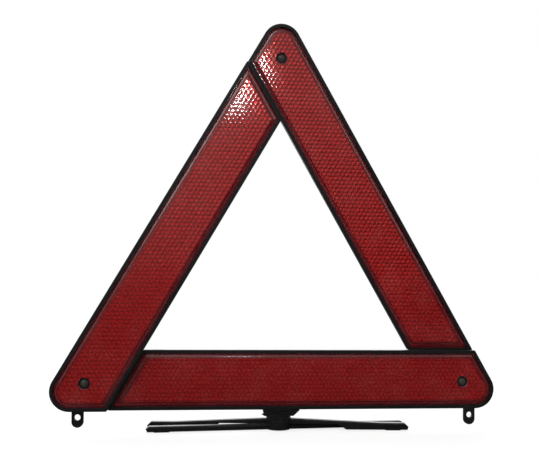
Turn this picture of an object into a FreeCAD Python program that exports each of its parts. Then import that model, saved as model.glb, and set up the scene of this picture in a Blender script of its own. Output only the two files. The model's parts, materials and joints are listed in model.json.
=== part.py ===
import FreeCAD, Part
import math
import os

# Folding warning triangle: three reflector arms, riveted at two corners and snapped together at the
# apex, on a short post with two legs that open into a cross.
# Millimetres. +Z up, the front faces -Y, +X to the viewer's right. The origin is on the ground, on the
# axis of the leg pivot, which is also the middle plane of the bottom arm.
#
# Each arm is drawn once, in its own frame: its rounded end's pin at the origin, +X along the arm,
# +Y towards the outside of the triangle and +Z out of the front face. Depths in that frame run from
# -ARM_THICK / 2 at the back to +ARM_THICK / 2 at the front of the rim.

V = FreeCAD.Vector

# --- triangle ---------------------------------------------------------------------------------------
SIDE = 460.0            # side of the triangle with its corners drawn sharp
ARM_WIDTH = 57.7        # outer edge to inner edge of an arm
CORNER_R = 19.0         # rounding of the three outside corners
PIN_INSET = 26.5        # pin axis to each of the two outer edges at its corner
EDGE_HEIGHT = 19.5      # ground to the bottom arm's lower edge
ARM_THICK = 6.0
ARM_GAP = 0.8           # air between two stacked arms
CORNER = math.radians(60.0)

# --- tray and lens ----------------------------------------------------------------------------------
RIM = 3.2               # rim width along the outer, inner and rounded edges
FAR_RIM = 1.6           # end wall at the slanted end
FLOOR = 1.4
LEDGE = 2.0             # step that the lens rests on, inside the rim
LENS_BACK = 0.0         # depth of the lens's back face
LENS_EDGE = 0.9         # thickness of the lens's flat edge
LENS_FRONT = 2.3        # depth of the lens's raised field
LENS_GAP = 0.15         # between the lens's edge and the rim
LENS_GROOVE = 0.8       # flat strip of the lens beside the rim
LENS_BORDER = 4.4       # width of the bevelled border
LENS_FAR_BORDER = 6.0   # the same at the slanted end
RIM_ROUND = 0.6
TIP_R = 1.2             # rounding of the small corners
FAR_GAP = 1.2           # from the left arm's slanted end to the right arm's inner edge
NIB_PITCH = 187.0       # between the two lens nibs on an outer rim
NIB_SIZE = (3.6, 0.85, 0.9)
PANEL_COUNT = 5         # shallow panels on the back
PANEL_SIZE = (50.0, 34.0)
PANEL_PITCH = 58.0
PANEL_START = 50.0
PANEL_DEPTH = 0.45

# --- pivots -----------------------------------------------------------------------------------------
SHANK_R = 2.4
RUNNING = 0.05          # running clearance, radial and axial
FIXED = 0.02            # clearance between pieces that don't move on each other
HEAD_R = 3.7
HEAD_HEIGHT = 2.4
BOSS_R = 5.0
BOSS_TOP = 0.6
LENS_HOLE_R = 5.4
TONGUE_THICK = 3.0
TONGUE_R = 20.0
TONGUE_INSET = 0.4
SPACER_R = 8.0
SPACER_THICK = 0.65
BURR_R = 4.6
BURR_THICK = 0.8
TAIL_R = 3.3
TAIL_TAPER = 0.8         # a rivet tail's end radius, as a share of its widest
TAIL_HEIGHT = 1.0

# --- apex catch -------------------------------------------------------------------------------------
CATCH_REACH = 47.0      # apex pin to the catch stud, along the left arm
CATCH_WIDTH = 15.0
CATCH_THICK = 1.6
CATCH_BOSS_R = 6.0
CATCH_BOSS_TAPER = 0.85
CATCH_STUD_R = 2.5
CATCH_HOLE_R = 2.9
CATCH_ENTRY = 0.95      # how far the stud enters the left tray's floor
CATCH_AIR = 0.35        # catch boss to the left arm's back

# --- ears -------------------------------------------------------------------------------------------
EAR_OFFSET = 6.7        # ear's middle line to the pin, outwards
EAR_WIDTH = 11.0
EAR_DROP = 15.8
EAR_HOLE_DROP = 6.1
EAR_HOLE_R = 2.85
EAR_THICK = 3.0

# --- base -------------------------------------------------------------------------------------------
NECK_HALF = 11.6
NECK_THICK = 6.0
FLANGE_R = 11.8
FLANGE_BOTTOM = 11.6
FLANGE_THICK = 1.5
PANEL_INSET = 1.6       # neck's recessed centre panel, from its edges
PANEL_CUT = 0.7
TANG_HALF = 9.0
TANG_THICK = 1.4
TANG_DEPTH = -0.8       # middle of the tang, in the bottom arm's depth
TANG_HEIGHT = 13.0
TANG_WINDOW = (7.0, 3.6)
TANG_WINDOW_UP = 7.5
SLOT_AIR = 0.1
NUB_AIR = 0.2           # tray's nub to the tang's window, all round
NUB_HEIGHT = 1.2
FLANK_THICK = 4.0
LEG_HALF = 127.0
LEG_WIDTH = 8.0
LEG_REST = 4.5          # each leg's angle to the arms with the base closed, in degrees
LEG_FOOT = 0.9          # ground to the underside of a leg: the pads' height
HUB_R = 11.8
LOWER_TOP = 5.9
UPPER_BOTTOM = 6.3
UPPER_TOP = 11.2
UPPER_TIP_TOP = 7.2
TIP_RAKE = 1.5          # how far the underside stops short of a leg's tip
TIP_UP = 2.5            # foot to the point of a leg's tip
LOWER_BEVEL = 3.0       # length of the sloping top of a tip
UPPER_BEVEL = 4.0
LEG_TIP_R = 2.5
RIDGE_END = 14.0        # where the upper leg's level middle ends
LEG_SHOULDER = 1.2      # chamfer along the legs' top edges
STEP_OUT = 66.0         # where the upper leg's underside is down at foot level
STEP_IN = 57.0          # and where it is up above the lower leg
FLAT_FROM = 100.0
HUB_STEP = 9.4          # height of the small step round the upper hub
HUB_STEP_R = 12.2
PIVOT_R = 3.0
PIVOT_HEAD_R = 5.6
PIVOT_HEAD_THICK = 1.8
PIVOT_HEAD_TOP = 3.0
PIVOT_HEAD_AIR = 0.4
DRIVE_SLOT = (7.2, 1.2, 1.1)    # length, width and depth of the crossed slots in the pivot's head
THREAD_R = 1.9
THREAD_TOP = 18.6
THREAD_AIR = 0.4        # end of the screw to the end of its hole
SPRING_WALL = 0.25
FRICTION_R = 9.0
SPRING_R = 8.0
PAD_SIZE = (15.0, 4.6)
PAD_AT = 112.0
PAD_SINK = 0.8

# --- places that follow from the above --------------------------------------------------------------
HALF_THICK = ARM_THICK / 2
STACK = ARM_THICK + ARM_GAP
LEAN = STACK / 2        # how far each side arm leans towards the other over its length
PIN_SPAN = SIDE - 2 * PIN_INSET / math.tan(CORNER / 2)
SHARP_BACK = PIN_INSET / math.tan(CORNER / 2)
PIN_HEIGHT = EDGE_HEIGHT + PIN_INSET
APEX_HEIGHT = PIN_HEIGHT + PIN_SPAN * math.sin(CORNER)
INNER_Y = PIN_INSET - ARM_WIDTH
FLANGE_TOP = FLANGE_BOTTOM + FLANGE_THICK
TONGUE_BACK = HALF_THICK - TONGUE_THICK


# --- drawing helpers --------------------------------------------------------------------------------
def meet(point_a, dir_a, point_b, dir_b):
    """Where two flat lines cross."""
    det = dir_a.x * dir_b.y - dir_a.y * dir_b.x
    gap = point_b - point_a
    along = (gap.x * dir_b.y - gap.y * dir_b.x) / det
    return point_a + dir_a * along


def rounded_wire(points, radii, height=0.0):
    """Closed flat outline through the points, each corner rounded with its own radius."""
    count = len(points)
    edges = []
    starts = []
    ends = []
    for index, corner in enumerate(points):
        to_last = (points[index - 1] - corner).normalize()
        to_next = (points[(index + 1) % count] - corner).normalize()
        half = to_last.getAngle(to_next) / 2
        setback = radii[index] / math.tan(half)
        first = corner + to_last * setback
        second = corner + to_next * setback
        middle_dir = (to_last + to_next).normalize()
        centre = corner + middle_dir * (radii[index] / math.sin(half))
        middle = centre - middle_dir * radii[index]
        starts.append(first)
        ends.append(second)
        edges.append(Part.Arc(first, middle, second).toShape())
    outline = []
    for index in range(count):
        outline.append(edges[index])
        outline.append(Part.makeLine(ends[index], starts[(index + 1) % count]))
    wire = Part.Wire(outline)
    wire.translate(V(0, 0, height))
    return wire


def slab(wire, low, high):
    """Upright solid over an outline, between two heights."""
    face = Part.Face(wire)
    face.translate(V(0, 0, low))
    return face.extrude(V(0, 0, high - low))


def polygon(points):
    """Closed flat outline with sharp corners."""
    return Part.makePolygon(points + [points[0]])


def centred_box(size, middle):
    corner = middle - V(size[0] / 2, size[1] / 2, size[2] / 2)
    return Part.makeBox(size[0], size[1], size[2], corner)


def rod(radius, low, high, at=None):
    """Cylinder along +Z between two heights."""
    base = at if at else V(0, 0, 0)
    return Part.makeCylinder(radius, high - low, base + V(0, 0, low))


def ring(outer, inner, low, high):
    return rod(outer, low, high).cut(rod(inner, low - 1, high + 1))


def one_solid(shape):
    """The shape's only solid, with leftover seams removed."""
    clean = shape.removeSplitter()
    if len(clean.Solids) != 1:
        raise ValueError("expected one solid, found %d" % len(clean.Solids))
    return clean.Solids[0]


# --- frames -----------------------------------------------------------------------------------------
def frame(origin, x_dir, y_dir):
    """Placement whose own axes are x_dir, y_dir and their cross product."""
    z_dir = x_dir.cross(y_dir)
    matrix = FreeCAD.Matrix(
        x_dir.x, y_dir.x, z_dir.x, origin.x,
        x_dir.y, y_dir.y, z_dir.y, origin.y,
        x_dir.z, y_dir.z, z_dir.z, origin.z,
        0, 0, 0, 1)
    return FreeCAD.Placement(matrix)


def arm_frame(pin, far_pin):
    """Placement of an arm whose pins are at two places in the model."""
    along = (far_pin - pin).normalize()
    flat = V(along.x, 0, along.z).normalize()
    outward = V(-flat.z, 0, flat.x)
    return frame(pin, along, outward)


def corner_points():
    """The three pins on the arms' middle planes: (left, right, apex), each as a flat X, Z pair."""
    half = PIN_SPAN / 2
    return (-half, PIN_HEIGHT), (half, PIN_HEIGHT), (0.0, APEX_HEIGHT)


LEFT_XZ, RIGHT_XZ, APEX_XZ = corner_points()


def at_depth(flat, forward):
    """A point on the arms' plane, moved forward by a distance."""
    return V(flat[0], -forward, flat[1])


BOTTOM_FRAME = arm_frame(at_depth(RIGHT_XZ, 0), at_depth(LEFT_XZ, 0))
LEFT_FRAME = arm_frame(at_depth(LEFT_XZ, STACK), at_depth(APEX_XZ, STACK - LEAN))
RIGHT_FRAME = arm_frame(at_depth(APEX_XZ, LEAN - STACK), at_depth(RIGHT_XZ, -STACK))


def pivot_frame(rest, pivot):
    """Frame on a side arm's hinge, +Z along the axis and out of the front.

    The axis turns the leaning arm until it lies flat along the bottom arm.
    """
    folded = arm_frame(V(0, 0, 0), V(1, 0, 0)).Rotation
    turn = folded.multiply(rest.Rotation.inverted())
    axis = turn.Axis
    if axis.y > 0:
        axis = axis.negative()
    side = V(0, 0, 1).cross(axis).normalize()
    return frame(pivot, side, axis.cross(side))


LEFT_PIVOT = pivot_frame(LEFT_FRAME, at_depth(LEFT_XZ, STACK))
RIGHT_PIVOT = pivot_frame(RIGHT_FRAME, at_depth(RIGHT_XZ, -STACK))


def placed(shape, placement):
    """A copy of a shape drawn in a frame, moved to where that frame is."""
    moved = shape.copy()
    moved.Placement = placement.multiply(moved.Placement)
    return moved


def local(shape, home, other):
    """A shape drawn in the frame other, as seen from the frame home."""
    return placed(shape, home.inverse().multiply(other))


# --- arm outline ------------------------------------------------------------------------------------
def arm_corners(inset, far_inset):
    """Four corners of the arm's outline, drawn in by inset, and by far_inset at the slanted end."""
    outer = V(0, PIN_INSET - inset, 0)
    inner = V(0, INNER_Y + inset, 0)
    down_right = V(math.cos(CORNER), -math.sin(CORNER), 0)
    down_left = V(-math.cos(CORNER), -math.sin(CORNER), 0)
    end_point = V(-math.sin(CORNER), -math.cos(CORNER), 0) * (PIN_INSET - inset)
    sharp_far = V(PIN_SPAN + SHARP_BACK - ARM_WIDTH / math.sin(CORNER), PIN_INSET, 0)
    far_point = sharp_far - V(far_inset / math.sin(CORNER), 0, 0)
    along = V(1, 0, 0)
    return [
        meet(outer, along, end_point, down_right),
        meet(inner, along, end_point, down_right),
        meet(inner, along, far_point, down_left),
        meet(outer, along, far_point, down_left)]


def arm_wire(inset, far_inset, height=0.0, small=TIP_R):
    radii = [max(CORNER_R - inset, small), small, small, small]
    return rounded_wire(arm_corners(inset, far_inset), radii, height)


def tangent_point(outside, centre, radius, side):
    """Where the line from an outside point touches a circle, on the given side (+1 or -1)."""
    to_centre = centre - outside
    spread = math.acos(radius / to_centre.Length)
    back = math.atan2(-to_centre.y, -to_centre.x)
    angle = back + side * spread
    return centre + V(math.cos(angle), math.sin(angle), 0) * radius


def tongue():
    """Thin end that reaches under the next arm, round its rivet."""
    corners = arm_corners(TONGUE_INSET, 0.0)
    centre = V(PIN_SPAN, 0, 0)
    outer_touch = tangent_point(corners[3], centre, TONGUE_R, -1)
    inner_touch = tangent_point(corners[2], centre, TONGUE_R, 1)
    root_outer = corners[3] - V(FAR_RIM, 0, 0)
    root_inner = corners[2] - V(FAR_RIM, 0, 0)
    tip = centre + V(TONGUE_R, 0, 0)
    outline = Part.Wire([
        Part.makeLine(root_outer, root_inner),
        Part.makeLine(root_inner, corners[2]),
        Part.makeLine(corners[2], inner_touch),
        Part.Arc(inner_touch, tip, outer_touch).toShape(),
        Part.makeLine(outer_touch, corners[3]),
        Part.makeLine(corners[3], root_outer)])
    return slab(outline, TONGUE_BACK, HALF_THICK)


# --- trays ------------------------------------------------------------------------------------------
def plain_tray(far_gap):
    """Rim, ledge, floor, boss, nibs and back panels of one arm."""
    body = slab(arm_wire(0.0, far_gap), -HALF_THICK, HALF_THICK)
    front = [edge for edge in body.Edges if edge.BoundBox.ZMin > HALF_THICK - FIXED]
    body = body.makeFillet(RIM_ROUND, front)
    seat = slab(arm_wire(RIM, far_gap + FAR_RIM), LENS_BACK, ARM_THICK)
    well = slab(arm_wire(RIM + LEDGE, far_gap + FAR_RIM + LEDGE), FLOOR - HALF_THICK, ARM_THICK)
    body = body.cut(seat).cut(well)
    body = body.fuse(rod(BOSS_R, -HALF_THICK, BOSS_TOP))
    for nib in nibs():
        body = body.fuse(nib)
    for panel in back_panels():
        body = body.cut(panel)
    return body


def nibs():
    """Two small teeth on the outer rim that hold the lens down."""
    corners = arm_corners(0.0, 0.0)
    middle = (corners[0].x + corners[3].x) / 2
    length, reach, height = NIB_SIZE
    overlap = 1.0
    teeth = []
    for side in (-1, 1):
        at = V(middle + side * NIB_PITCH / 2, PIN_INSET - RIM - reach / 2 + overlap / 2,
               LENS_EDGE + FIXED + height / 2)
        teeth.append(centred_box((length, reach + overlap, height), at))
    return teeth


def back_panels():
    """Shallow rounded recesses along the back."""
    panels = []
    middle_y = PIN_INSET - ARM_WIDTH / 2
    long_half = PANEL_SIZE[0] / 2
    short_half = PANEL_SIZE[1] / 2
    panel_r = 4.0
    for index in range(PANEL_COUNT):
        centre = V(PANEL_START + PANEL_PITCH * index, middle_y, 0)
        points = [centre + V(-long_half, -short_half, 0), centre + V(long_half, -short_half, 0),
                  centre + V(long_half, short_half, 0), centre + V(-long_half, short_half, 0)]
        wire = rounded_wire(points, [panel_r] * 4)
        panels.append(slab(wire, -HALF_THICK - 1, -HALF_THICK + PANEL_DEPTH))
    return panels


def ear(pin_x, outward, root_y):
    """Hanging tab with a round end and a hole, beside a bottom pin."""
    middle = pin_x + outward * EAR_OFFSET
    half = EAR_WIDTH / 2
    end_y = PIN_INSET + EAR_DROP - half
    strip = Part.Wire([
        Part.makeLine(V(middle - half, root_y, 0), V(middle - half, end_y, 0)),
        Part.Arc(V(middle - half, end_y, 0), V(middle, end_y + half, 0),
                 V(middle + half, end_y, 0)).toShape(),
        Part.makeLine(V(middle + half, end_y, 0), V(middle + half, root_y, 0)),
        Part.makeLine(V(middle + half, root_y, 0), V(middle - half, root_y, 0))])
    tab = slab(strip, HALF_THICK - EAR_THICK, HALF_THICK)
    hole_at = V(middle, PIN_INSET + EAR_HOLE_DROP, 0)
    return tab.cut(rod(EAR_HOLE_R, -HALF_THICK - 1, HALF_THICK + 1, hole_at))


def post_socket():
    """Slot through the bottom rim for the post's tang, in the bottom arm's frame."""
    width = 2 * (TANG_HALF + SLOT_AIR)
    thick = TANG_THICK + 2 * SLOT_AIR
    depth = RIM + LEDGE + 1
    middle = V(PIN_SPAN / 2, PIN_INSET - depth / 2 + SLOT_AIR, TANG_DEPTH)
    return centred_box((width, depth + SLOT_AIR, thick), middle)


def post_nub():
    """Nub on the bottom tray's floor that snaps into the tang's window."""
    size = (TANG_WINDOW[0] - 2 * NUB_AIR, TANG_WINDOW[1] - 2 * NUB_AIR, NUB_HEIGHT)
    low = FLOOR - HALF_THICK
    middle = V(PIN_SPAN / 2, PIN_INSET - TANG_WINDOW_UP, low + size[2] / 2 - FIXED)
    return centred_box(size, middle)


def bottom_tray():
    body = plain_tray(0.0).fuse(tongue())
    body = body.fuse(ear(0.0, -1, PIN_INSET - RIM / 2))
    body = body.fuse(ear(PIN_SPAN, 1, TONGUE_R / 2))
    body = body.cut(post_socket()).fuse(post_nub())
    left_bore = local(rod(SHANK_R + FIXED, -ARM_THICK * 3, ARM_THICK), BOTTOM_FRAME, LEFT_PIVOT)
    right_bore = local(rod(SHANK_R + FIXED, -ARM_THICK, ARM_THICK * 3), BOTTOM_FRAME, RIGHT_PIVOT)
    body = body.cut(left_bore).cut(right_bore)
    return placed(one_solid(body), BOTTOM_FRAME)


def left_tray():
    body = plain_tray(FAR_GAP)
    bore = local(rod(SHANK_R + RUNNING, -ARM_THICK, ARM_THICK), LEFT_FRAME, LEFT_PIVOT)
    catch_hole = rod(CATCH_HOLE_R, -ARM_THICK, 0, V(PIN_SPAN - CATCH_REACH, 0, 0))
    body = body.cut(bore).cut(catch_hole)
    return placed(one_solid(body), LEFT_FRAME)


def right_tray():
    body = plain_tray(0.0).fuse(tongue())
    body = body.cut(rod(SHANK_R + FIXED, -ARM_THICK, ARM_THICK))
    bore = local(rod(SHANK_R + RUNNING, -ARM_THICK, ARM_THICK), RIGHT_FRAME, RIGHT_PIVOT)
    return placed(one_solid(body.cut(bore)), RIGHT_FRAME)


# --- lenses -----------------------------------------------------------------------------------------
def lens(placement, far_gap):
    """Clear red plate with a bevelled border and a raised field."""
    edge_in = RIM + LENS_GAP
    far_in = far_gap + FAR_RIM + LENS_GAP
    plate = slab(arm_wire(edge_in, far_in), LENS_BACK, LENS_EDGE)
    foot = arm_wire(edge_in + LENS_GROOVE, far_in + LENS_GROOVE, LENS_EDGE)
    crown = arm_wire(edge_in + LENS_GROOVE + LENS_BORDER, far_in + LENS_GROOVE + LENS_FAR_BORDER,
                     LENS_FRONT)
    field = Part.makeLoft([foot, crown], True, True)
    body = plate.fuse(field).cut(rod(LENS_HOLE_R, -ARM_THICK, ARM_THICK))
    return placed(one_solid(body), placement)


# --- rivets, spacers and the apex catch -------------------------------------------------------------
def rivet(head_base, grip_end, tail_from):
    """Domed rivet along +Z: shank from its head down through the grip, and an upset tail."""
    dome_r = (HEAD_R ** 2 + HEAD_HEIGHT ** 2) / (2 * HEAD_HEIGHT)
    ball = Part.makeSphere(dome_r, V(0, 0, head_base + HEAD_HEIGHT - dome_r))
    head = ball.common(rod(HEAD_R, head_base, head_base + HEAD_HEIGHT))
    shank = rod(SHANK_R, tail_from - TAIL_HEIGHT, head_base)
    tail = Part.makeCone(TAIL_R * TAIL_TAPER, TAIL_R, TAIL_HEIGHT, V(0, 0, tail_from - TAIL_HEIGHT))
    body = head.fuse(shank).fuse(tail)
    if tail_from > grip_end:
        raise ValueError("a rivet's tail would start inside its grip")
    return one_solid(body)


def left_rivet():
    """Joins the left arm to the bottom arm's tongue; drawn along the left hinge axis."""
    grip_end = TONGUE_BACK - STACK
    body = rivet(BOSS_TOP + RUNNING, grip_end, grip_end - BURR_THICK - 2 * FIXED)
    return placed(body, LEFT_PIVOT)


def right_rivet():
    """Joins the bottom arm to the right arm's tongue; drawn along the right hinge axis."""
    grip_end = TONGUE_BACK - 2 * RUNNING
    body = rivet(BOSS_TOP + STACK + 2 * FIXED, grip_end, grip_end - BURR_THICK - 2 * FIXED)
    return placed(body, RIGHT_PIVOT)


def apex_rivet():
    """Holds the catch plate behind the right arm's rounded end."""
    grip_end = -HALF_THICK - CATCH_THICK
    return placed(rivet(BOSS_TOP, grip_end, grip_end - BURR_THICK - FIXED), RIGHT_FRAME)


def burr(grip_end, air):
    """Washer that a rivet's tail is closed over."""
    top = grip_end - air
    return ring(BURR_R, SHANK_R + FIXED, top - BURR_THICK, top)


def left_burr():
    return placed(burr(TONGUE_BACK - STACK, FIXED * 2), LEFT_PIVOT)


def right_burr():
    return placed(burr(TONGUE_BACK - 2 * RUNNING, FIXED), RIGHT_PIVOT)


def apex_burr():
    return placed(burr(-HALF_THICK - CATCH_THICK, 0.0), RIGHT_FRAME)


def left_spacer():
    """Washer on the bottom arm's tongue, under the left arm."""
    washer = ring(SPACER_R, SHANK_R + RUNNING * 2, HALF_THICK, HALF_THICK + SPACER_THICK)
    washer.translate(V(PIN_SPAN, 0, 0))
    return placed(washer, BOTTOM_FRAME)


def right_spacer():
    """Washer behind the bottom arm, in front of the right arm's tongue."""
    washer = ring(SPACER_R, SHANK_R + RUNNING * 2, -HALF_THICK - SPACER_THICK, -HALF_THICK)
    return placed(washer, BOTTOM_FRAME)


def catch_point():
    """The catch stud's place in the right arm's frame, behind the left arm's end."""
    on_left = LEFT_FRAME.multVec(V(PIN_SPAN - CATCH_REACH, 0, -HALF_THICK))
    return RIGHT_FRAME.inverse().multVec(on_left)


def apex_catch():
    """Plate behind the right arm's rounded end, with a stud that snaps into the left arm."""
    at = catch_point()
    low = -HALF_THICK - CATCH_THICK
    reach = math.hypot(at.x, at.y)
    half = CATCH_WIDTH / 2
    link = Part.Wire([
        Part.Arc(V(0, half, 0), V(-half, 0, 0), V(0, -half, 0)).toShape(),
        Part.makeLine(V(0, -half, 0), V(reach, -half, 0)),
        Part.Arc(V(reach, -half, 0), V(reach + half, 0, 0), V(reach, half, 0)).toShape(),
        Part.makeLine(V(reach, half, 0), V(0, half, 0))])
    plate = slab(link, low, -HALF_THICK)
    stud_at = V(reach, 0, 0)
    boss_top = at.z - CATCH_AIR
    boss = Part.makeCone(CATCH_BOSS_R, CATCH_BOSS_R * CATCH_BOSS_TAPER, boss_top - low, V(reach, 0, low))
    stud = rod(CATCH_STUD_R, boss_top, at.z + CATCH_ENTRY, stud_at)
    body = plate.fuse(boss).fuse(stud).cut(rod(SHANK_R + FIXED, low - 1, 0))
    body.rotate(V(0, 0, 0), V(0, 0, 1), math.degrees(math.atan2(at.y, at.x)))
    return placed(one_solid(body), RIGHT_FRAME)


# --- base -------------------------------------------------------------------------------------------
def upright(points, thick):
    """Solid from an outline of X, Z pairs, with its thickness along Y about the arms' plane."""
    outline = polygon([V(x, -thick / 2, z) for x, z in points])
    return Part.Face(outline).extrude(V(0, thick, 0))


def post():
    """Neck between the bottom arm and the legs, with a tang that snaps up into the arm."""
    left_flank = [(-NECK_HALF, EDGE_HEIGHT), (-15.2, EDGE_HEIGHT), (-15.2, 17.2), (-14.2, 16.2),
                  (-16.4, 14.8), (-13.6, FLANGE_TOP), (-NECK_HALF, FLANGE_TOP)]
    right_flank = [(NECK_HALF, FLANGE_TOP), (14.6, FLANGE_TOP), (20.6, EDGE_HEIGHT - 0.9),
                   (20.6, EDGE_HEIGHT), (NECK_HALF, EDGE_HEIGHT)]
    neck_height = EDGE_HEIGHT - FLANGE_BOTTOM
    neck = centred_box((2 * NECK_HALF, NECK_THICK, neck_height),
                       V(0, 0, FLANGE_BOTTOM + neck_height / 2))
    body = neck.fuse(rod(FLANGE_R, FLANGE_BOTTOM, FLANGE_TOP))
    body = body.fuse(upright(left_flank, FLANK_THICK)).fuse(upright(right_flank, FLANK_THICK))
    tang_y = -TANG_DEPTH
    tang_low = EDGE_HEIGHT - 1
    tang = centred_box((2 * TANG_HALF, TANG_THICK, TANG_HEIGHT + 1),
                       V(0, tang_y, tang_low + (TANG_HEIGHT + 1) / 2))
    window = centred_box((TANG_WINDOW[0], TANG_THICK * 3, TANG_WINDOW[1]),
                         V(0, tang_y, EDGE_HEIGHT + TANG_WINDOW_UP))
    body = body.fuse(tang).cut(window)
    panel_half = NECK_HALF - PANEL_INSET
    for side in (-1, 1):
        middle = V(0, side * NECK_THICK / 2, (EDGE_HEIGHT + FLANGE_TOP) / 2)
        height = EDGE_HEIGHT - FLANGE_TOP - PANEL_INSET
        body = body.cut(centred_box((2 * panel_half, 2 * PANEL_CUT, height), middle))
    return one_solid(body.cut(rod(THREAD_R + FIXED, FLANGE_BOTTOM - 1, THREAD_TOP + THREAD_AIR)))


def leg_bar(profile, low, high):
    """Bar along X from its side outline, rounded at its tips and chamfered along the top."""
    side = upright(profile, LEG_WIDTH)
    half = LEG_WIDTH / 2
    points = [V(-LEG_HALF, -half, 0), V(LEG_HALF, -half, 0), V(LEG_HALF, half, 0), V(-LEG_HALF, half, 0)]
    plan = slab(rounded_wire(points, [LEG_TIP_R] * 4), low - 1, high + 1)
    return side.common(plan)


def shoulders(profile_top, sign):
    """Wedge that takes the corner off one top edge of a leg, along a list of X, Z points."""
    cutters = []
    edge_y = sign * LEG_WIDTH / 2
    for (x0, z0), (x1, z1) in zip(profile_top, profile_top[1:]):
        sections = []
        for x, z in ((x0, z0), (x1, z1)):
            sections.append(polygon([
                V(x, edge_y + sign * 0.5, z - LEG_SHOULDER - 0.5),
                V(x, edge_y + sign * 0.5, z + 1),
                V(x, edge_y - sign * (LEG_SHOULDER + 1), z + 1)]))
        cutters.append(Part.makeLoft(sections, True, True))
    return cutters


def pad_place(side):
    return V(side * PAD_AT, 0, 0)


def pad_wire(grow):
    half_long = PAD_SIZE[0] / 2 + grow
    half_short = PAD_SIZE[1] / 2 + grow
    points = [V(-half_long, -half_short, 0), V(half_long, -half_short, 0),
              V(half_long, half_short, 0), V(-half_long, half_short, 0)]
    return rounded_wire(points, [half_short - 0.3] * 4)


def pads(angle):
    """The two rubber pads under one leg's ends."""
    both = []
    for side in (-1, 1):
        pad = slab(pad_wire(0.0), 0.0, LEG_FOOT + PAD_SINK)
        pad.translate(pad_place(side))
        pad.rotate(V(0, 0, 0), V(0, 0, 1), angle)
        both.append(pad)
    return Part.makeCompound(both)


def pad_pockets():
    pockets = []
    for side in (-1, 1):
        pocket = slab(pad_wire(FIXED), -1.0, LEG_FOOT + PAD_SINK)
        pocket.translate(pad_place(side))
        pockets.append(pocket)
    return pockets


def turned(body, angle):
    body.rotate(V(0, 0, 0), V(0, 0, 1), angle)
    return body


def lower_leg():
    """Flat bar on the ground, with a hub that the pivot's head sits up inside."""
    tip_high = LEG_FOOT + TIP_UP
    right_side = [(LEG_HALF - TIP_RAKE, LEG_FOOT), (LEG_HALF, tip_high), (LEG_HALF - LOWER_BEVEL, LOWER_TOP)]
    profile = right_side + [(-x, z) for x, z in reversed(right_side)]
    body = leg_bar(profile, LEG_FOOT, LOWER_TOP)
    top = [(-LEG_HALF, LOWER_TOP), (LEG_HALF, LOWER_TOP)]
    for sign in (-1, 1):
        for cutter in shoulders(top, sign):
            body = body.cut(cutter)
    body = body.fuse(rod(HUB_R, LEG_FOOT, LOWER_TOP))
    body = body.cut(rod(PIVOT_HEAD_R + PIVOT_HEAD_AIR, 0, PIVOT_HEAD_TOP + RUNNING))
    body = body.cut(rod(PIVOT_R + RUNNING, 0, LOWER_TOP + 1))
    for pocket in pad_pockets():
        body = body.cut(pocket)
    return turned(one_solid(body), LEG_REST)


def upper_leg():
    """Arched bar whose ends come down beside the lower leg's."""
    right_low = [(STEP_IN, UPPER_BOTTOM), (STEP_OUT, LEG_FOOT), (LEG_HALF - TIP_RAKE, LEG_FOOT),
                 (LEG_HALF, LEG_FOOT + TIP_UP), (LEG_HALF - UPPER_BEVEL, UPPER_TIP_TOP)]
    right_top = [(FLAT_FROM, UPPER_TIP_TOP), (RIDGE_END, UPPER_TOP)]
    left_part = [(-x, z) for x, z in reversed(right_low + right_top)]
    body = leg_bar(right_low + right_top + left_part, LEG_FOOT, UPPER_TOP)
    top_line = [(LEG_HALF, UPPER_TIP_TOP)] + right_top
    top_line = top_line + [(-x, z) for x, z in reversed(top_line)]
    for sign in (-1, 1):
        for cutter in shoulders(top_line, sign):
            body = body.cut(cutter)
    body = body.fuse(rod(HUB_R, UPPER_BOTTOM, UPPER_TOP)).fuse(rod(HUB_STEP_R, UPPER_BOTTOM, HUB_STEP))
    body = body.cut(rod(PIVOT_R + RUNNING, 0, UPPER_TOP + 1))
    for pocket in pad_pockets():
        body = body.cut(pocket)
    return turned(one_solid(body), -LEG_REST)


def leg_pivot():
    """Shoulder screw up through both legs into the post."""
    low = PIVOT_HEAD_TOP - PIVOT_HEAD_THICK
    body = rod(PIVOT_HEAD_R, low, PIVOT_HEAD_TOP)
    body = body.fuse(rod(PIVOT_R, PIVOT_HEAD_TOP, FLANGE_BOTTOM))
    body = body.fuse(rod(THREAD_R, FLANGE_BOTTOM, THREAD_TOP))
    length, width, depth = DRIVE_SLOT
    for angle in (0, 90):
        slot = centred_box((length, width, 2 * depth), V(0, 0, low))
        body = body.cut(turned(slot, angle))
    return one_solid(body)


def friction_washer():
    return ring(FRICTION_R, PIVOT_R + RUNNING, LOWER_TOP + FIXED, UPPER_BOTTOM - FIXED)


def spring_washer():
    """Shallow cone that presses the legs together."""
    height = FLANGE_BOTTOM - UPPER_TOP
    hole = PIVOT_R + RUNNING
    points = [V(hole, 0, FLANGE_BOTTOM - SPRING_WALL - FIXED), V(hole, 0, FLANGE_BOTTOM - FIXED),
              V(SPRING_R, 0, FLANGE_BOTTOM - height + SPRING_WALL + FIXED),
              V(SPRING_R, 0, FLANGE_BOTTOM - height + FIXED)]
    face = Part.Face(polygon(points))
    return face.revolve(V(0, 0, 0), V(0, 0, 1), 360).Solids[0]


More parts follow.
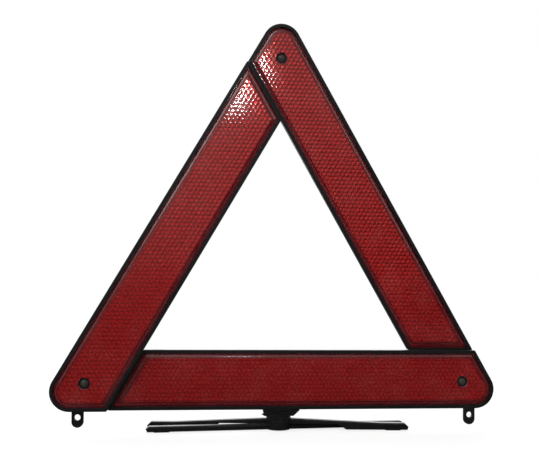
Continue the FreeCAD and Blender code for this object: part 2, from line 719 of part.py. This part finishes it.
# --- output -----------------------------------------------------------------------------------------
NODES = {
    "bottom_tray": bottom_tray,
    "left_tray": left_tray,
    "right_tray": right_tray,
    "bottom_lens": lambda: lens(BOTTOM_FRAME, 0.0),
    "left_lens": lambda: lens(LEFT_FRAME, FAR_GAP),
    "right_lens": lambda: lens(RIGHT_FRAME, 0.0),
    "left_pivot_rivet": left_rivet,
    "right_pivot_rivet": right_rivet,
    "apex_rivet": apex_rivet,
    "left_burr_washer": left_burr,
    "right_burr_washer": right_burr,
    "apex_burr_washer": apex_burr,
    "left_spacer_washer": left_spacer,
    "right_spacer_washer": right_spacer,
    "apex_catch": apex_catch,
    "base_post": post,
    "lower_leg": lower_leg,
    "upper_leg": upper_leg,
    "leg_pivot_screw": leg_pivot,
    "leg_friction_washer": friction_washer,
    "leg_spring_washer": spring_washer,
    "lower_leg_pads": lambda: pads(LEG_REST),
    "upper_leg_pads": lambda: pads(-LEG_REST),
}


def main():
    os.makedirs("parts", exist_ok=True)
    for name, make in NODES.items():
        shape = make()
        shape.exportStep("parts/%s.step" % name)
        print(name, "solids", len(shape.Solids), "valid", shape.isValid(), "volume", round(shape.Volume, 1))


main()
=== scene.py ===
import json
import math
import random

import bmesh
import bpy
from mathutils import Matrix, Vector


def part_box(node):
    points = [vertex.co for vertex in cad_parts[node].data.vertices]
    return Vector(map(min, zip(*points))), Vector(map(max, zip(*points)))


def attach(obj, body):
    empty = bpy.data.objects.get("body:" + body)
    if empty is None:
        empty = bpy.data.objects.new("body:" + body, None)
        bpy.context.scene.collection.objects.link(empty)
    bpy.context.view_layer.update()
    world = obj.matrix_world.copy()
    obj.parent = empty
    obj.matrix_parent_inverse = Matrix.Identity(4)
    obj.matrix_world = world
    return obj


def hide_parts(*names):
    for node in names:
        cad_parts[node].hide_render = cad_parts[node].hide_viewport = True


# Looks of a folding warning triangle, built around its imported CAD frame.
# Metres throughout; lengths given in millimetres are multiplied by MM.
# An arm's own frame has its rounded end's pin at the origin, +X along the arm, +Y towards the outside
# of the triangle and +Z out of the front.

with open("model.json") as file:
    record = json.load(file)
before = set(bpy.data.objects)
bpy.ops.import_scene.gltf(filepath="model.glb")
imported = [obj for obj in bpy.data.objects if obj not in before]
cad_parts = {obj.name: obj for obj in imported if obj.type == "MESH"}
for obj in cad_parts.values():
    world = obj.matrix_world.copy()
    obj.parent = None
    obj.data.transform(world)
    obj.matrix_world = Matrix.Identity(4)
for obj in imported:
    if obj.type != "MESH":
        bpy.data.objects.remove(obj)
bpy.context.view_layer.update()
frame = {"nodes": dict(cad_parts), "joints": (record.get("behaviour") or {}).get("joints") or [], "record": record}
MM = 0.001

# --- lens -------------------------------------------------------------------------------------------
EDGE_TOP = 0.9 * MM         # height of the lens's flat edge over its back
EDGE_ROUND = 0.12 * MM
GROOVE = 0.8 * MM           # flat strip beside the rim
BORDER = 4.4 * MM           # plain domed border inside that strip
FAR_BORDER = 6.0 * MM       # the same at the slanted end
BORDER_STEPS = 7
TIP_R = 1.2 * MM
WALL = 0.5 * MM             # clear layer in front of the prisms
COLLAR = 0.6 * MM           # clear wall round the rivet's hole
HOLE_R = 5.4 * MM
HOLE_FLARE = 0.3 * MM
CLEAR = 0.06 * MM           # air between the prisms and the clear face
PRISM_PITCH = 4.5 * MM
PRISM_DEPTH = 1.3 * MM
PRISM_BASE = 0.05 * MM
PRISM_LOW = 0.3 * MM
PRISM_SHAKE = 0.02 * MM     # moulding error in the height of a prism's corners
ROW_STEP = PRISM_PITCH * math.sqrt(3) / 2
FACETS = (((1, -1), (1, 1), (0, 2)),
          ((0, 2), (-1, 1), (-1, -1)),
          ((-1, -1), (0, -2), (1, -1)))
POCKET_SHARE = 0.9          # how far up the border the pocket for the prisms begins
SINK = 0.008 * MM           # depth of the dimples that the prisms leave in the clear face
SHARP_FROM = 25             # degrees between faces that keep a sharp edge
ARC_STEPS = 10
CIRCLE_STEPS = 48

# --- colours and finish, in linear light ------------------------------------------------------------
TINT = (0.93, 0.57, 0.55)               # what the clear face lets through
MILKY = (0.36, 0.012, 0.017)            # what it scatters on its field, and on its domed border a purple-grey painted reflection
BORDER_PAINTED_SHEEN = (0.24, 0.05, 0.075)
DUST = (0.55, 0.25, 0.24)
PRISM_RED = (0.44, 0.013, 0.017)
PRISM_WARM = (0.48, 0.019, 0.009)
PRISM_DULL = (0.26, 0.006, 0.008)
PRISM_PAINTED_SHADE = (0.09, 0.0015, 0.003)      # painted shade, towards the high corners of a cell
ACRYLIC_IOR = 1.49
PLASTIC_SHINE = 0.15
MOULDINGS = {                           # colour, scuffed colour, roughness and depth of the grain
    "black_plastic": ((0.0048, 0.0048, 0.0050), (0.075, 0.075, 0.075), 0.38, 0.035 * MM),
    "rivet_plastic": ((0.022, 0.022, 0.018), (0.13, 0.13, 0.11), 0.34, 0.02 * MM),
    "washer_plastic": ((0.50, 0.49, 0.44), (0.66, 0.65, 0.60), 0.45, 0.02 * MM)}

# --- stage ------------------------------------------------------------------------------------------
FLOOR_R = 8.0
EYE = Vector((-0.0694, -0.6944, 0.1341))
FOCAL = 47.54
SENSOR = 36.0
SHIFT = (-0.0181, 0.0887)
ROLL = math.radians(0.57)
SKY_LOW = 0.13              # strength of the sky at floor level, overhead, and more behind the object
SKY_HIGH = 1.1
SKY_BEHIND = 1.8
SKY_RIGHT = 0.45            # share of it left on the right
LIGHTS = (("key", (-1.25, -1.05, 1.75), (1.7, 1.7), 24.5),
          ("spark", (-0.713, -0.585, 1.138), (0.10, 0.10), 2.6),
          ("glint", (0.006, -1.04, 0.652), (0.048, 0.048), 0.40),
          ("fill", (1.6, -1.3, 1.3), (1.4, 1.2), 5.0),
          ("back", (0.3, 1.4, 1.1), (1.4, 1.0), 24.0))


# --- mesh helpers -----------------------------------------------------------------------------------
def new_object(name, mesh):
    obj = bpy.data.objects.new(name, mesh)
    bpy.context.scene.collection.objects.link(obj)
    return obj


def from_bmesh(name, work):
    mesh = bpy.data.meshes.new(name)
    work.to_mesh(mesh)
    work.free()
    return new_object(name, mesh)


def loft(name, rings):
    """Closed solid through rings of equally many points, the first and last of them filled."""
    work = bmesh.new()
    loops = [[work.verts.new(point) for point in ring] for ring in rings]
    count = len(rings[0])
    for low, high in zip(loops, loops[1:]):
        for index in range(count):
            after = (index + 1) % count
            work.faces.new((low[index], low[after], high[after], high[index]))
    work.faces.new(list(reversed(loops[0])))
    work.faces.new(loops[-1])
    return from_bmesh(name, work)


def circle(radius, height):
    step = 2 * math.pi / CIRCLE_STEPS
    return [Vector((radius * math.cos(step * i), radius * math.sin(step * i), height))
            for i in range(CIRCLE_STEPS)]


def cut(obj, cutter):
    """Takes the cutter's shape out of obj, and removes the cutter."""
    modifier = obj.modifiers.new("cut", "BOOLEAN")
    modifier.operation = "DIFFERENCE"
    modifier.solver = "EXACT"
    modifier.object = cutter
    graph = bpy.context.evaluated_depsgraph_get()
    mesh = bpy.data.meshes.new_from_object(obj.evaluated_get(graph), depsgraph=graph)
    obj.modifiers.clear()
    obj.data = mesh
    bpy.data.objects.remove(cutter)


def smooth(obj, angle):
    """Smooth shading, with edges sharper than the angle kept sharp."""
    obj.data.polygons.foreach_set("use_smooth", [True] * len(obj.data.polygons))
    obj.data.set_sharp_from_angle(angle=math.radians(angle))


# --- arm frames -------------------------------------------------------------------------------------
def arm_frame(pin, far_pin):
    """Matrix of an arm whose pins are at two places."""
    along = (far_pin - pin).normalized()
    flat = Vector((along.x, 0, along.z)).normalized()
    outward = Vector((-flat.z, 0, flat.x))
    axes = Matrix((along, outward, along.cross(outward))).transposed()
    return Matrix.Translation(pin) @ axes.to_4x4()


def arm_frames():
    """The three arms' frames, from the two bottom hinges of the equilateral triangle."""
    joints = {joint["name"]: Vector(joint["pos_m"]) for joint in frame["joints"]}
    left = joints["left_arm_fold"]
    right = joints["right_arm_fold"]
    top = left.z + (right.x - left.x) * math.sin(math.radians(60))
    return {
        "bottom_arm": arm_frame(Vector((right.x, 0, right.z)), Vector((left.x, 0, left.z))),
        "left_arm": arm_frame(left, Vector((0, left.y / 2, top))),
        "right_arm": arm_frame(Vector((0, right.y / 2, top)), right)}


# --- lens outline -----------------------------------------------------------------------------------
def edge_normals():
    """Directions out of a lens's rounded end, inner edge, slanted end and outer edge."""
    s = math.sin(math.radians(60))
    c = math.cos(math.radians(60))
    return [Vector((-s, -c, 0)), Vector((0, -1, 0)), Vector((s, -c, 0)), Vector((0, 1, 0))]


def crossing(normal_a, reach_a, normal_b, reach_b):
    """Where two lines meet, each given by its normal and its distance from the origin."""
    det = normal_a.x * normal_b.y - normal_a.y * normal_b.x
    x = (reach_a * normal_b.y - reach_b * normal_a.y) / det
    y = (normal_a.x * reach_b - normal_b.x * reach_a) / det
    return Vector((x, y, 0))


def between(first, last, share):
    """Part of the way round a circle from one radius to another."""
    angle = first.angle(last)
    return (first * math.sin((1 - share) * angle) + last * math.sin(share * angle)) / math.sin(angle)


class Outline:
    """A lens's outline, read from its CAD node: four straight edges and rounded corners."""

    def __init__(self, node, home):
        inverse = home.inverted()
        points = [inverse @ vertex.co for vertex in frame["nodes"][node].data.vertices]
        self.normals = edge_normals()
        self.reach = [max(point.dot(normal) for point in points) for normal in self.normals]
        self.back = min(point.z for point in points)
        self.front = max(point.z for point in points)
        sharp = self.corners(0, 0)[0]
        flat = [Vector((point.x, point.y, 0)) for point in points]
        self.corner_r = min((point - sharp).length for point in flat)

    def corners(self, inset, far_inset):
        """Sharp corners, from the one between the outer edge and the rounded end."""
        insets = [inset, inset, far_inset, inset]
        lines = [(normal, reach - move) for normal, reach, move in zip(self.normals, self.reach, insets)]
        return [crossing(*lines[index - 1], *lines[index]) for index in range(4)]

    def ring(self, inset, far_inset, height):
        """Points round the outline, drawn in by the insets, at one height."""
        corners = self.corners(inset, far_inset)
        radii = [max(self.corner_r - inset, TIP_R), TIP_R, TIP_R, TIP_R]
        ring = []
        for index, corner in enumerate(corners):
            to_last = (corners[index - 1] - corner).normalized()
            to_next = (corners[(index + 1) % 4] - corner).normalized()
            half = to_last.angle(to_next) / 2
            centre = corner + (to_last + to_next).normalized() * (radii[index] / math.sin(half))
            first = corner + to_last * (radii[index] / math.tan(half)) - centre
            last = corner + to_next * (radii[index] / math.tan(half)) - centre
            steps = ARC_STEPS * 3 if index == 0 else ARC_STEPS
            for step in range(steps + 1):
                point = centre + between(first, last, step / steps)
                ring.append(Vector((point.x, point.y, height)))
        return ring


# --- lens pieces ------------------------------------------------------------------------------------
def border_rings(outline):
    """Rings from the flat edge over the domed border to the raised field."""
    base = outline.back + EDGE_TOP
    rise = outline.front - base
    rings = []
    for step in range(BORDER_STEPS + 1):
        share = step / BORDER_STEPS
        height = base + rise * math.sin(share * math.pi / 2)
        rings.append(outline.ring(GROOVE + BORDER * share, GROOVE + FAR_BORDER * share, height))
    return rings


def lens_face(name, outline):
    """Clear front of a lens: flat edge, domed border, field, and a pocket behind for the prisms."""
    base = outline.back + EDGE_TOP
    rings = [outline.ring(0, 0, outline.back),
             outline.ring(0, 0, base - EDGE_ROUND),
             outline.ring(EDGE_ROUND, EDGE_ROUND, base)]
    face = loft(name, rings + border_rings(outline))
    below = outline.back - 1 * MM
    pocket_in = GROOVE + BORDER * POCKET_SHARE
    pocket_far = GROOVE + FAR_BORDER * POCKET_SHARE
    ceiling = outline.front - WALL
    pocket = loft("pocket", [outline.ring(pocket_in, pocket_far, below),
                             outline.ring(pocket_in, pocket_far, ceiling)])
    cut(pocket, loft("collar", [circle(HOLE_R + COLLAR, below - MM), circle(HOLE_R + COLLAR, ceiling + MM)]))
    cut(face, pocket)
    top = outline.front
    hole = loft("hole", [circle(HOLE_R, below), circle(HOLE_R, top - HOLE_FLARE),
                         circle(HOLE_R + HOLE_FLARE, top + HOLE_FLARE / 10)])
    cut(face, hole)
    smooth(face, SHARP_FROM)
    return face


def prism_lattice(work, low, columns, rows, rng):
    """Open sheet of three-faceted pits: deep in the middle, high at every other corner.

    Corners are counted in halves of the pitch along the arm and thirds of a row across it.
    """
    tones = work.faces.layers.float.new("cell_tone")
    levels = work.verts.layers.float.new("cell_level")
    corners = {}

    def corner(along, across, level):
        if (along, across) not in corners:
            height = low + PRISM_DEPTH * level + rng.uniform(-1, 1) * PRISM_SHAKE
            place = (along * PRISM_PITCH / 2, across * ROW_STEP / 3, height)
            corners[(along, across)] = work.verts.new(place)
            corners[(along, across)][levels] = level
        return corners[(along, across)]

    for row in rows:
        for column in columns:
            x = 2 * column + row % 2
            y = 3 * row
            tone = rng.random()
            for left, peak, right in FACETS:
                face = work.faces.new((corner(x, y, 0.0), corner(x + left[0], y + left[1], 0.5),
                                       corner(x + peak[0], y + peak[1], 1.0),
                                       corner(x + right[0], y + right[1], 0.5)))
                face[tones] = tone


def steps_over(values, step):
    """Whole steps that more than cover a list of values."""
    return range(math.floor(min(values) / step) - 1, math.ceil(max(values) / step) + 2)


def trim(work, edge):
    """Keeps what lies inside a flat outline that bulges everywhere."""
    for start, end in zip(edge, edge[1:] + edge[:1]):
        run = end - start
        if run.length < MM / 1000:
            continue
        geometry = list(work.verts) + list(work.edges) + list(work.faces)
        bmesh.ops.bisect_plane(work, geom=geometry, dist=MM / 10000, plane_co=start,
                               plane_no=(run.y, -run.x, 0), clear_outer=True)
    bmesh.ops.remove_doubles(work, verts=work.verts, dist=MM / 1000)


def prism_sheet(name, outline, seed):
    """Hexagonal cube-corner prisms over the whole field, as one closed solid."""
    work = bmesh.new()
    inset = GROOVE + BORDER * POCKET_SHARE + CLEAR
    far_inset = GROOVE + FAR_BORDER * POCKET_SHARE + CLEAR
    edge = outline.ring(inset, far_inset, 0)
    columns = steps_over([point.x for point in edge], PRISM_PITCH)
    rows = steps_over([point.y for point in edge], ROW_STEP)
    prism_lattice(work, outline.back + PRISM_LOW, columns, rows, random.Random(seed))
    bmesh.ops.triangulate(work, faces=work.faces)
    trim(work, edge)
    close_below(work, outline.back + PRISM_BASE)
    sheet = from_bmesh(name, work)
    radius = HOLE_R + COLLAR + CLEAR
    cut(sheet, loft("hole", [circle(radius, outline.back - MM), circle(radius, outline.front + MM)]))
    return sheet


def close_below(work, base):
    """Walls from an open sheet's edge down to a flat back."""
    boundary = [edge for edge in work.edges if edge.is_boundary]
    walls = bmesh.ops.extrude_edge_only(work, edges=boundary)["geom"]
    lowered = [item for item in walls if isinstance(item, bmesh.types.BMVert)]
    for vertex in lowered:
        vertex.co.z = base
    rim = [item for item in walls if isinstance(item, bmesh.types.BMEdge) and item.is_boundary]
    bmesh.ops.triangle_fill(work, edges=rim, use_beauty=True)
    bmesh.ops.recalc_face_normals(work, faces=list(work.faces))


# --- materials --------------------------------------------------------------------------------------
class Graph:
    """A node tree, with short calls that add a node and join it up."""

    def __init__(self, owner):
        owner.use_nodes = True
        self.tree = owner.node_tree
        self.tree.nodes.clear()

    def add(self, kind, inputs=None, **settings):
        node = self.tree.nodes.new("ShaderNode" + kind)
        for key, value in settings.items():
            setattr(node, key, value)
        for key, value in (inputs or {}).items():
            if isinstance(value, bpy.types.NodeSocket):
                self.tree.links.new(value, node.inputs[key])
            else:
                node.inputs[key].default_value = value
        return node

    def maths(self, operation, a, b=0.0):
        return self.add("Math", {0: a, 1: b}, operation=operation, use_clamp=False).outputs[0]

    def blend(self, share, a, b):
        """Colour between a and b."""
        return self.add("Mix", {0: share, 6: a, 7: b}, data_type="RGBA").outputs[2]

    def spread(self, value, low, high, out_low, out_high):
        """Value moved from one range to another, and held there."""
        return self.add("MapRange", {"Value": value, "From Min": low, "From Max": high,
                                     "To Min": out_low, "To Max": out_high}).outputs[0]

    def noise(self, scale, detail=3.0, rough=0.5, stretch=None):
        """Noise over the piece's own metres."""
        place = self.add("TexCoord").outputs["Object"]
        if stretch:
            place = self.add("Mapping", {"Vector": place, "Scale": stretch}).outputs[0]
        return self.add("TexNoise", {"Vector": place, "Scale": scale, "Detail": detail,
                                     "Roughness": rough}).outputs["Fac"]

    def bump(self, height, distance, strength=1.0, normal=None):
        inputs = {"Height": height, "Distance": distance, "Strength": strength}
        if normal:
            inputs["Normal"] = normal
        return self.add("Bump", inputs).outputs[0]

    def edges(self, radius):
        """1 along edges of about this radius, 0 on open faces."""
        round_normal = self.add("Bevel", {"Radius": radius}, samples=4).outputs[0]
        flat_normal = self.add("NewGeometry").outputs["Normal"]
        product = self.add("VectorMath", {0: round_normal, 1: flat_normal}, operation="DOT_PRODUCT")
        return self.spread(product.outputs["Value"], 0.995, 0.93, 0.0, 1.0)

    def finish(self, shader):
        self.add("OutputMaterial", {"Surface": shader})


def rgb(red, green, blue):
    return (red, green, blue, 1.0)


def moulded(name, colour, worn, roughness, grain):
    """Moulded plastic: fine spark-eroded grain, cloudy gloss, and lighter scuffs along its edges."""
    material = bpy.data.materials.new(name)
    g = Graph(material)
    cloud = g.noise(45.0, 4.0)
    fine = g.noise(5200.0, 2.0)
    soft = g.noise(900.0, 3.0)
    scuff = g.maths("MULTIPLY", g.edges(0.5 * MM), g.spread(g.noise(260.0, 5.0, 0.7), 0.45, 0.7, 0.0, 1.0))
    tint = g.blend(g.spread(cloud, 0.35, 0.7, 0.0, 1.0), rgb(*colour), rgb(*[c * 1.35 for c in colour]))
    base = g.blend(g.maths("MULTIPLY", scuff, 0.6), tint, rgb(*worn))
    gloss = g.spread(cloud, 0.3, 0.7, roughness - 0.06, roughness + 0.08)
    gloss = g.maths("ADD", gloss, g.maths("MULTIPLY", scuff, 0.2))
    height = g.maths("ADD", g.maths("MULTIPLY", fine, 0.6), soft)
    g.finish(g.add("BsdfPrincipled", {
        "Base Color": base, "Roughness": gloss, "IOR": 1.5, "Specular IOR Level": PLASTIC_SHINE,
        "Normal": g.bump(height, grain)}).outputs[0])
    return material


def zinc_steel():
    """Zinc-plated steel: spangled grey with fine turning marks."""
    material = bpy.data.materials.new("zinc_steel")
    g = Graph(material)
    spangle = g.noise(700.0, 2.0)
    marks = g.noise(1500.0, 2.0, 0.5, stretch=(1.0, 1.0, 9.0))
    tint = g.blend(spangle, rgb(0.42, 0.43, 0.44), rgb(0.66, 0.66, 0.63))
    dull = g.maths("MULTIPLY", g.edges(0.3 * MM), 0.5)
    g.finish(g.add("BsdfPrincipled", {
        "Base Color": g.blend(dull, tint, rgb(0.30, 0.30, 0.30)), "Metallic": 1.0,
        "Roughness": g.spread(spangle, 0.3, 0.7, 0.28, 0.46),
        "Normal": g.bump(marks, 0.02 * MM)}).outputs[0])
    return material


def rubber():
    """Soft matt rubber with a dusty bloom."""
    material = bpy.data.materials.new("rubber")
    g = Graph(material)
    dust = g.noise(350.0, 5.0, 0.65)
    tint = g.blend(g.spread(dust, 0.5, 0.75, 0.0, 0.5), rgb(0.012, 0.012, 0.012), rgb(0.07, 0.068, 0.062))
    g.finish(g.add("BsdfPrincipled", {
        "Base Color": tint, "Roughness": g.spread(dust, 0.3, 0.7, 0.72, 0.9),
        "Normal": g.bump(g.noise(2600.0, 3.0), 0.06 * MM)}).outputs[0])
    return material


def sink_marks(g):
    """Faint dimples over the prisms, as three crossed waves one prism row apart."""
    place = g.add("TexCoord").outputs["Object"]
    total = None
    for turn in (30, 90, 150):
        angle = math.radians(turn)
        wave = (2 * math.pi / ROW_STEP * math.cos(angle), 0, 2 * math.pi / ROW_STEP * math.sin(angle))
        phase = g.add("VectorMath", {0: place, 1: wave}, operation="DOT_PRODUCT").outputs["Value"]
        ripple = g.maths("COSINE", phase)
        total = ripple if total is None else g.maths("ADD", total, ripple)
    return total


def clear_red():
    """Clear red acrylic seen from in front: mirrors at the surface, tints what is behind it, and has a painted
    reflection on its domed border.
    """
    material = bpy.data.materials.new("clear_red")
    g = Graph(material)
    geometry = g.add("NewGeometry").outputs
    slope = g.maths("ABSOLUTE", g.add("SeparateXYZ", {0: geometry["Normal"]}).outputs[1])
    border = g.spread(slope, 0.985, 0.82, 0.0, 1.0)
    dimples = g.maths("MULTIPLY", sink_marks(g), g.spread(border, 0.0, 0.5, 1.0, 0.0))
    scratch = g.noise(420.0, 2.0, 0.6, stretch=(1.0, 1.0, 14.0))
    haze = g.spread(g.noise(38.0, 5.0, 0.6), 0.45, 0.8, 0.0, 1.0)
    wavy = g.bump(g.noise(90.0, 2.0), 0.05 * MM, 0.6, g.bump(dimples, SINK))
    normal = g.bump(scratch, 0.006 * MM, 0.5, wavy)
    rough = g.maths("ADD", g.maths("MULTIPLY", haze, 0.06), g.spread(scratch, 0.6, 0.75, 0.05, 0.12))
    rough = g.maths("ADD", rough, g.maths("MULTIPLY", border, 0.25))
    through = g.add("BsdfTransparent", {"Color": rgb(*TINT)}).outputs[0]
    mirror = g.add("BsdfGlossy", {"Color": rgb(1, 1, 1), "Roughness": rough, "Normal": normal}).outputs[0]
    dust = g.add("BsdfDiffuse", {"Color": rgb(*DUST)}).outputs[0]
    # painted reflection: towards the domed border the scatter turns purple-grey and takes a larger share, in place
    # of the bright surroundings mirrored there
    milky_and_painted_sheen = g.blend(border, rgb(*MILKY), rgb(*BORDER_PAINTED_SHEEN))
    body = g.add("BsdfDiffuse", {"Color": milky_and_painted_sheen}).outputs[0]
    tinted = g.add("MixShader", {0: g.spread(border, 0.0, 1.0, 0.10, 0.45), 1: through, 2: body}).outputs[0]
    dusty = g.add("MixShader", {0: g.maths("MULTIPLY", haze, 0.03), 1: tinted, 2: dust}).outputs[0]
    front = g.maths("SUBTRACT", 1.0, geometry["Backfacing"])
    share = g.maths("MULTIPLY", g.add("Fresnel", {"IOR": ACRYLIC_IOR, "Normal": normal}).outputs[0], front)
    g.finish(g.add("MixShader", {0: share, 1: dusty, 2: mirror}).outputs[0])
    return material


def red_prisms():
    """Red facets behind the clear face: each cell a little different, and painted darker towards its rim as shade.
    """
    material = bpy.data.materials.new("red_prisms")
    g = Graph(material)
    tone = g.add("Attribute", attribute_name="cell_tone").outputs["Fac"]
    drift = g.noise(17.0, 3.0)
    warm = g.blend(g.spread(drift, 0.35, 0.68, 0.0, 1.0), rgb(*PRISM_RED), rgb(*PRISM_WARM))
    varied = g.blend(g.maths("MULTIPLY", tone, 0.25), warm, rgb(*PRISM_DULL))
    level = g.add("Attribute", attribute_name="cell_level").outputs["Fac"]
    # painted shade: darker towards the high corners of each cell, drawing a dark network between bright cell
    # centres
    base = g.blend(g.spread(level, 0.08, 0.42, 0.0, 0.8), varied, rgb(*PRISM_PAINTED_SHADE))
    rough = g.spread(tone, 0.0, 1.0, 0.38, 0.50)
    g.finish(g.add("BsdfPrincipled", {
        "Base Color": base, "Metallic": 0.40, "Roughness": rough, "Coat Weight": 1.0,
        "Coat Roughness": g.spread(drift, 0.3, 0.7, 0.06, 0.12), "Coat IOR": 1.55,
        "Normal": g.bump(g.noise(1300.0, 2.0), 0.01 * MM)}).outputs[0])
    return material


def paint(nodes, material):
    for name in nodes:
        obj = frame["nodes"][name]
        if not obj.material_slots:
            obj.data.materials.append(material)
        for slot in obj.material_slots:
            slot.material = material


def paint_frame():
    """Gives every CAD node the finish that the record names for it."""
    finishes = {slot: moulded(slot, *look) for slot, look in MOULDINGS.items()}
    finishes["steel"] = zinc_steel()
    finishes["rubber"] = rubber()
    for part in frame["record"]["subparts"]:
        if part["material_slot"] in finishes:
            paint([part["node"]], finishes[part["material_slot"]])


def build_lenses():
    clear = clear_red()
    red = red_prisms()
    for seed, (body, home) in enumerate(arm_frames().items()):
        node = body.replace("_arm", "_lens")
        outline = Outline(node, home)
        for piece, material in ((lens_face(node + "_face", outline), clear),
                                (prism_sheet(node + "_prisms", outline, seed), red)):
            piece.data.transform(home)
            piece.data.materials.clear()
            piece.data.materials.append(material)
            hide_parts(node)
            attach(piece, body)


# --- stage, light and camera ------------------------------------------------------------------------
def build_floor():
    """Round pale floor, far wider than the view: nearly white to the camera, dark in reflections."""
    work = bmesh.new()
    bmesh.ops.create_circle(work, cap_ends=True, radius=FLOOR_R, segments=96)
    floor = from_bmesh("floor", work)
    material = bpy.data.materials.new("pale_floor")
    g = Graph(material)
    grain = g.noise(30.0, 4.0)
    pale = g.blend(grain, rgb(0.80, 0.80, 0.80), rgb(0.84, 0.84, 0.84))
    path = g.add("LightPath").outputs
    place = g.add("TexCoord").outputs["Object"]
    away = g.add("VectorMath", {0: place}, operation="LENGTH").outputs["Value"]
    seen = g.blend(path["Is Glossy Ray"], pale, rgb(0.06, 0.06, 0.06))
    matt = g.add("BsdfDiffuse", {"Color": seen}).outputs[0]
    glow = g.add("Emission", {"Color": rgb(1, 1, 1), "Strength": 1.0}).outputs[0]
    share = g.maths("MULTIPLY", path["Is Camera Ray"], g.spread(away, 0.2, 0.9, 0.75, 1.0))
    g.finish(g.add("MixShader", {0: share, 1: matt, 2: glow}).outputs[0])
    floor.data.materials.append(material)


def build_world():
    """White to the camera; for light, a soft sky, brighter above than below and brightest behind."""
    world = bpy.data.worlds.new("studio")
    bpy.context.scene.world = world
    g = Graph(world)
    way = g.add("TexCoord").outputs["Generated"]
    side, depth, height = g.add("SeparateXYZ", {0: way}).outputs
    level = g.spread(height, 0.0, 0.45, SKY_LOW, SKY_HIGH)
    level = g.maths("MULTIPLY", level, g.spread(side, -0.05, 0.25, 1.0, SKY_RIGHT))
    level = g.maths("ADD", level, g.spread(depth, 0.25, 0.8, 0.0, SKY_BEHIND))
    soft = g.add("Background", {"Color": rgb(1.0, 0.99, 0.98), "Strength": level}).outputs[0]
    white = g.add("Background", {"Color": rgb(1, 1, 1), "Strength": 1.0}).outputs[0]
    seen = g.add("LightPath").outputs["Is Camera Ray"]
    mixed = g.add("MixShader", {0: seen, 1: soft, 2: white}).outputs[0]
    g.add("OutputWorld", {"Surface": mixed})


def softbox(name, place, aim, size, watts):
    light = bpy.data.lights.new(name, "AREA")
    light.shape = "RECTANGLE"
    light.size, light.size_y = size
    light.energy = watts
    obj = new_object(name, light)
    obj.location = place
    obj.rotation_euler = (Vector(aim) - Vector(place)).to_track_quat("-Z", "Y").to_euler()
    obj.visible_camera = False
    return obj


def build_lights(aim):
    for name, place, size, watts in LIGHTS:
        softbox(name, place, aim, size, watts)


def build_camera():
    pins = [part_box(name) for name in ("left_pivot_rivet", "right_pivot_rivet", "apex_rivet")]
    heart = sum(((low + high) / 2 for low, high in pins), Vector()) / 3
    heart.y = 0.0
    data = bpy.data.cameras.new("camera")
    data.lens = FOCAL
    data.sensor_width = SENSOR
    data.shift_x, data.shift_y = SHIFT
    camera = new_object("camera", data)
    camera.location = EYE
    look = (heart - EYE).to_track_quat("-Z", "Y").to_matrix().to_4x4()
    camera.rotation_euler = (look @ Matrix.Rotation(ROLL, 4, "Z")).to_euler()
    bpy.context.scene.camera = camera
    return heart


paint_frame()
build_lenses()
build_floor()
build_world()
build_lights(build_camera())
bpy.context.scene.view_settings.view_transform = "Standard"
